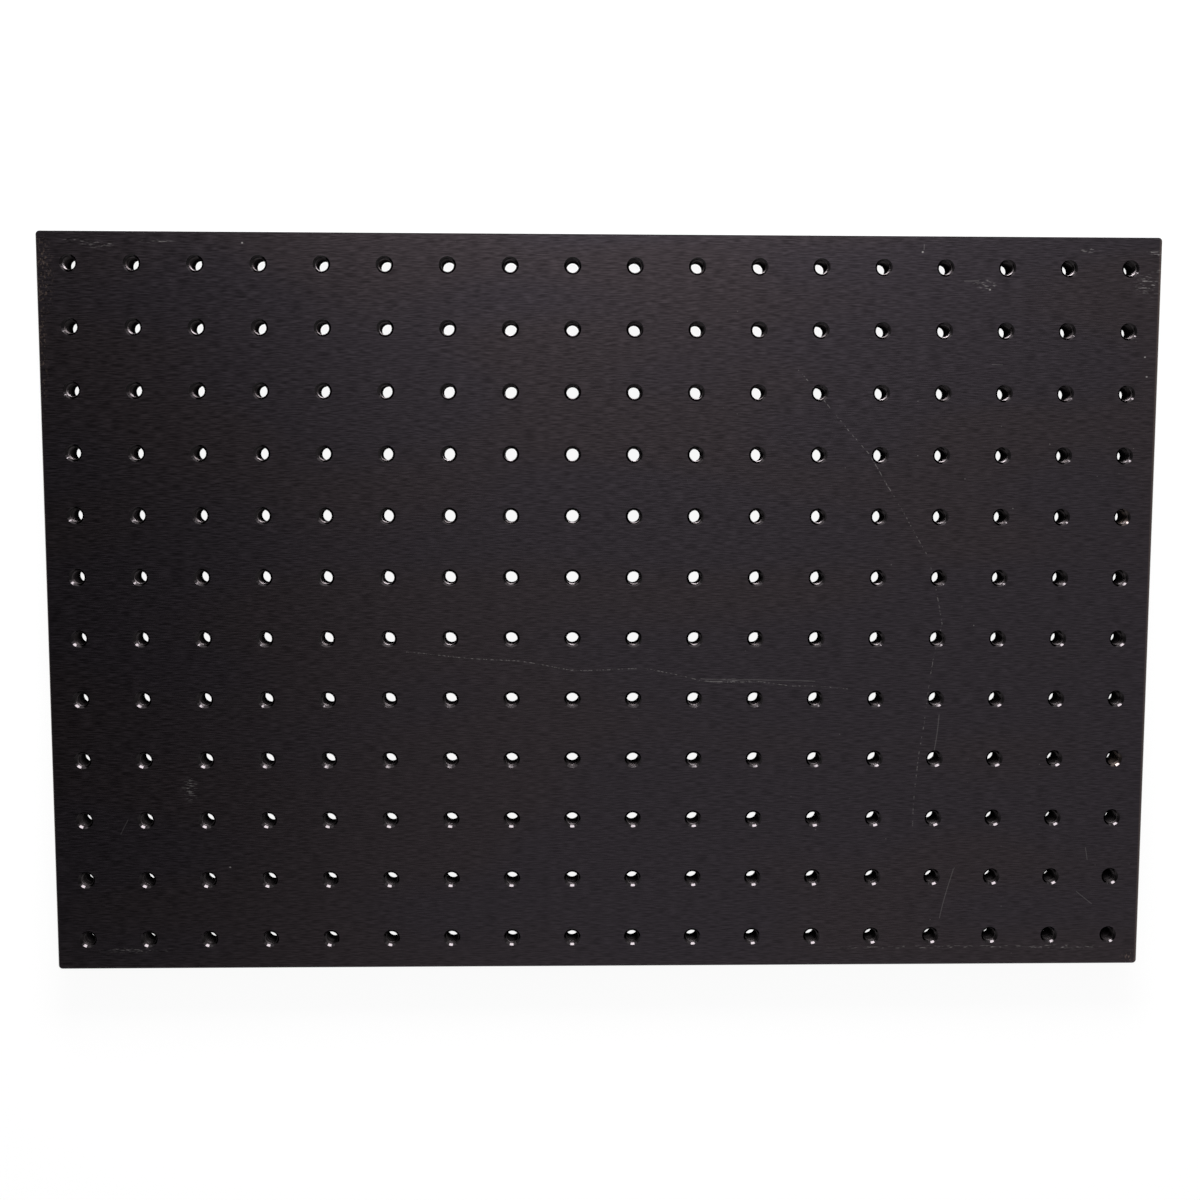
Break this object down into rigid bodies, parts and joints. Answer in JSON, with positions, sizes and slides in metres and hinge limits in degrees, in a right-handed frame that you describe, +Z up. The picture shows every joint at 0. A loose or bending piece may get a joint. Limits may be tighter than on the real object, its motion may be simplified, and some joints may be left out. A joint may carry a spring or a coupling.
{
  "type": "optical breadboard",
  "caption": "Flat black plate tapped right through on a square grid, for bolting optical posts and mounts to.",
  "frame": {"origin": "middle of the underside, which lies on z = 0", "axes": "+X along the plate's long side, +Y along its short side towards the picture's top edge, +Z up out of the working face"},
  "size_m": [0.4572, 0.3048, 0.0127],
  "materials": {
    "black_anodised_aluminium": "black anodised over a fine brushed grain along the long side, satin"
  },
  "bodies": {
    "root": {"breadboard_plate": "black_anodised_aluminium"}
  },
  "joints": []
}
